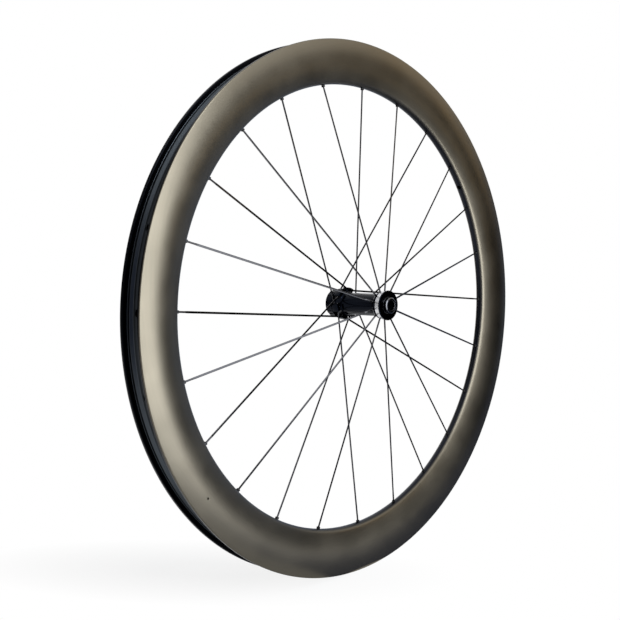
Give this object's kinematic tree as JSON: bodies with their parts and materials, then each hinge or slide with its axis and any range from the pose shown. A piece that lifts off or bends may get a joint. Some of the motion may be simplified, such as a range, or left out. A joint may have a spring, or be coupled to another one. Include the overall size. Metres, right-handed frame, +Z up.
{
  "type": "bicycle front wheel",
  "caption": "Front wheel for a road bicycle with disc brakes: deep hollow rim, flattened straight-pull spokes and a sealed-bearing hub for a through axle.",
  "frame": {"origin": "wheel's centre, on the axle's line midway between the hub's end faces", "axes": "+Y along the axle to the brake side, +Z up, +X forward round the wheel"},
  "size_m": [0.633, 0.1, 0.6329],
  "materials": {
    "carbon": "satin clear coat over carbon fibre",
    "spoke_black": "black oxide on stainless steel",
    "nipple": "black anodised aluminium",
    "hub_black": "gloss black anodised aluminium",
    "bright_aluminium": "polished",
    "cover_black": "black anodised aluminium",
    "cap_black": "gloss black anodised aluminium",
    "axle_grey": "turned",
    "bearing_steel": "ground steel",
    "cage_brown": "moulded nylon",
    "rubber": "matt"
  },
  "bodies": {
    "axle": {"axle_tube": "axle_grey", "right_end_cap": "cap_black", "left_end_cap": "cap_black", "right_inner_race": "bearing_steel", "left_inner_race": "bearing_steel", "end_cap_o_rings": "rubber"},
    "wheel": {"rim": "carbon", "right_spoke_01": "spoke_black", "right_spoke_02": "spoke_black", "right_spoke_03": "spoke_black", "right_spoke_04": "spoke_black", "right_spoke_05": "spoke_black", "right_spoke_06": "spoke_black", "right_spoke_07": "spoke_black", "right_spoke_08": "spoke_black", "right_spoke_09": "spoke_black", "right_spoke_10": "spoke_black", "right_spoke_11": "spoke_black", "right_spoke_12": "spoke_black", "left_spoke_01": "spoke_black", "left_spoke_02": "spoke_black", "left_spoke_03": "spoke_black", "left_spoke_04": "spoke_black", "left_spoke_05": "spoke_black", "left_spoke_06": "spoke_black", "left_spoke_07": "spoke_black", "left_spoke_08": "spoke_black", "left_spoke_09": "spoke_black", "left_spoke_10": "spoke_black", "left_spoke_11": "spoke_black", "left_spoke_12": "spoke_black", "nipples": "nipple", "hub_shell": "hub_black", "retaining_ring": "bright_aluminium", "right_outer_race": "bearing_steel", "left_outer_race": "bearing_steel", "right_inner_seal": "rubber", "right_outer_seal": "rubber", "left_inner_seal": "rubber", "left_outer_seal": "rubber", "right_dust_cover": "cover_black", "left_dust_cover": "cover_black"},
    "right_ball_set": {"right_balls": "bearing_steel", "right_cage": "cage_brown"},
    "left_ball_set": {"left_balls": "bearing_steel", "left_cage": "cage_brown"}
  },
  "joints": [
    {"name": "wheel_spin", "type": "hinge", "parent": "axle", "child": "wheel", "pos_m": [0, 0, 0], "axis": [0, 1, 0], "continuous": true},
    {"name": "right_balls_roll", "type": "hinge", "parent": "axle", "child": "right_ball_set", "pos_m": [0, -0.0417, 0], "axis": [0, 1, 0], "continuous": true},
    {"name": "left_balls_roll", "type": "hinge", "parent": "axle", "child": "left_ball_set", "pos_m": [0, 0.0355, 0], "axis": [0, 1, 0], "continuous": true}
  ],
  "couplings": [
    {"joint": "right_balls_roll", "follows": "wheel_spin", "ratio": 0.5641},
    {"joint": "left_balls_roll", "follows": "wheel_spin", "ratio": 0.5641}
  ]
}
